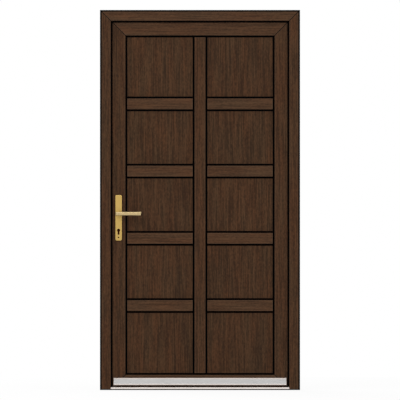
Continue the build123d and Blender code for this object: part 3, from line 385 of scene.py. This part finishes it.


# Colours and finishes, one for each material slot, and those of single nodes
# Paler, greyer foil colour for the painted highlight on the foil's edges
painted_edge_highlight = srgb(80, 62, 48)
# Near-black brown: painted shade in the mitre grooves, and the real colour of the beads' soft lips
groove_shade_and_seal_colour = srgb(20, 12, 8)
# Brass darkened to near black: painted shade for the lock cylinder in the keyhole and for the screws in the
# handle plates
brass_painted_shade = srgb(46, 19, 5)
steel = srgb(196, 198, 200)
finishes = {
    "foil_upright": foil("foil_upright", "z", srgb(69, 46, 29), contrast=0.43, mask=mitre_shade_mask),
    # The level members' foil is the upright foil made paler: painted light on the horizontal members.
    "foil_level": foil("foil_level", "x", srgb(74, 51, 34), contrast=0.35, mask=mitre_shade_mask),
    "panel_foil": foil("panel_foil", "z", srgb(67, 45, 28), contrast=0.43),
    "bead_foil": foil("bead_foil", "z", srgb(68, 45, 28), contrast=0.12, mask=bead_seal_mask),
    "black_rubber": moulded("black_rubber", srgb(3, 2, 2), roughness=0.8, specular=0.02),
    "black_plastic": moulded("black_plastic", srgb(5, 4, 3), roughness=0.7, specular=0.03),
    "grey_plastic": moulded("grey_plastic", srgb(222, 212, 206), roughness=0.5, specular=0.2),
    "galvanised_steel": galvanised("galvanised_steel", srgb(188, 191, 195)),
    "aluminium": brushed("aluminium", srgb(224, 215, 209), across_lines, roughness=0.38),
    # The handle plates' paler edges are a painted highlight.
    "gold_plate": brushed("gold_plate", srgb(192, 160, 92), up_lines, roughness=0.36,
                          wear_and_highlight_band=plate_highlight_band, wear_and_highlight_share=plate_edge_highlight),
    "gold_lever": brushed("gold_lever", srgb(192, 169, 125), across_lines, roughness=0.30),
    # The cylinder's near-black colour is painted shade in the keyhole.
    "dark_brass": brushed("dark_brass", brass_painted_shade, up_lines, roughness=0.4),
    "hinge_brown": painted("hinge_brown", srgb(58, 40, 29)),
    "lock_steel": brushed("lock_steel", steel, up_lines, roughness=0.32),
}
node_finishes = {
    # The weather bar's rims get a paler colour: a painted highlight.
    "weather_bar": brushed("anodised_bar", srgb(197, 196, 195), across_lines, roughness=0.36,
                           mask=bar_rim_highlight_mask, patch=srgb(216, 205, 198)),
    # Screws within the handle plates get the darkened brass: painted shade.
    "leaf_screws": brushed("leaf_screws", steel, up_lines, roughness=0.32, mask=plate_mask, patch=brass_painted_shade),
}
for subpart in frame["record"]["subparts"]:
    node = subpart["node"]
    for material_slot in frame["nodes"][node].material_slots:
        material_slot.material = node_finishes.get(node, finishes[subpart["material_slot"]])


# Stage
def seen_directly(tree):
    """1 for rays that show the background itself: from the camera, or by way of a mirror or glass."""
    path = tree.nodes.new("ShaderNodeLightPath")
    total = path.outputs["Is Camera Ray"]
    for name in ("Is Glossy Ray", "Is Transmission Ray"):
        larger = tree.nodes.new("ShaderNodeMath")
        larger.operation = "MAXIMUM"
        tree.links.new(total, larger.inputs[0])
        tree.links.new(path.outputs[name], larger.inputs[1])
        total = larger.outputs[0]
    return total


def light_world():
    world = bpy.data.worlds.new("studio")
    bpy.context.scene.world = world
    world.use_nodes = True
    tree = world.node_tree
    sky = tree.nodes["Background"]
    sky.inputs["Color"].default_value = white
    sky.inputs["Strength"].default_value = sky_strength
    seen = tree.nodes.new("ShaderNodeBackground")
    seen.inputs["Color"].default_value = white
    choice = tree.nodes.new("ShaderNodeMixShader")
    tree.links.new(seen_directly(tree), choice.inputs[0])
    tree.links.new(sky.outputs[0], choice.inputs[1])
    tree.links.new(seen.outputs[0], choice.inputs[2])
    tree.links.new(choice.outputs[0], tree.nodes["World Output"].inputs["Surface"])


def lay_floor():
    half = floor_half
    corners = [(-half, -half), (half, -half), (half, half), (-half, half)]
    mesh = bpy.data.meshes.new("floor")
    mesh.from_pydata([(x, y, -floor_drop) for x, y in corners], [], [(0, 1, 2, 3)])
    floor = bpy.data.objects.new("floor", mesh)
    bpy.context.scene.collection.objects.link(floor)
    finish = Finish("floor")
    grey = tone(white, floor_grey)
    finish.set(Base_Color=finish.mix(finish.noise([floor_cloud] * 3), grey, tone(grey, floor_pale)))
    finish.set(Roughness=floor_roughness)
    glow = finish.add("ShaderNodeEmission", {"Color": white})
    share = finish.math("MULTIPLY", seen_directly(finish.tree), floor_white_share)
    inputs = {0: share, 1: finish.surface.outputs[0], 2: glow.outputs[0]}
    mixed = finish.add("ShaderNodeMixShader", inputs)
    finish.feed(finish.tree.nodes["Material Output"].inputs["Surface"], mixed.outputs[0])
    mesh.materials.append(finish.material)


def hang_lamps():
    middle = (cad_low + cad_high) / 2
    for name, (place, power) in lamps.items():
        data = bpy.data.lights.new(name, "AREA")
        data.shape = "DISK"
        data.size = lamp_size
        data.energy = power
        lamp = bpy.data.objects.new(name, data)
        lamp.location = place
        lamp.rotation_euler = (middle - Vector(place)).to_track_quat("-Z", "Y").to_euler()
        bpy.context.scene.collection.objects.link(lamp)


def set_camera():
    data = bpy.data.cameras.new("camera")
    data.lens = lens
    data.sensor_width = sensor
    camera = bpy.data.objects.new("camera", data)
    distance = image_pixels * pixel_span * lens / sensor
    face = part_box("head")[0].y
    camera.location = (0.0, face - distance, (cad_low.z + cad_high.z) / 2)
    camera.rotation_euler = (level_view, 0.0, 0.0)
    bpy.context.scene.collection.objects.link(camera)
    bpy.context.scene.camera = camera


light_world()
lay_floor()
hang_lamps()
set_camera()
bpy.context.scene.view_settings.view_transform = "Standard"
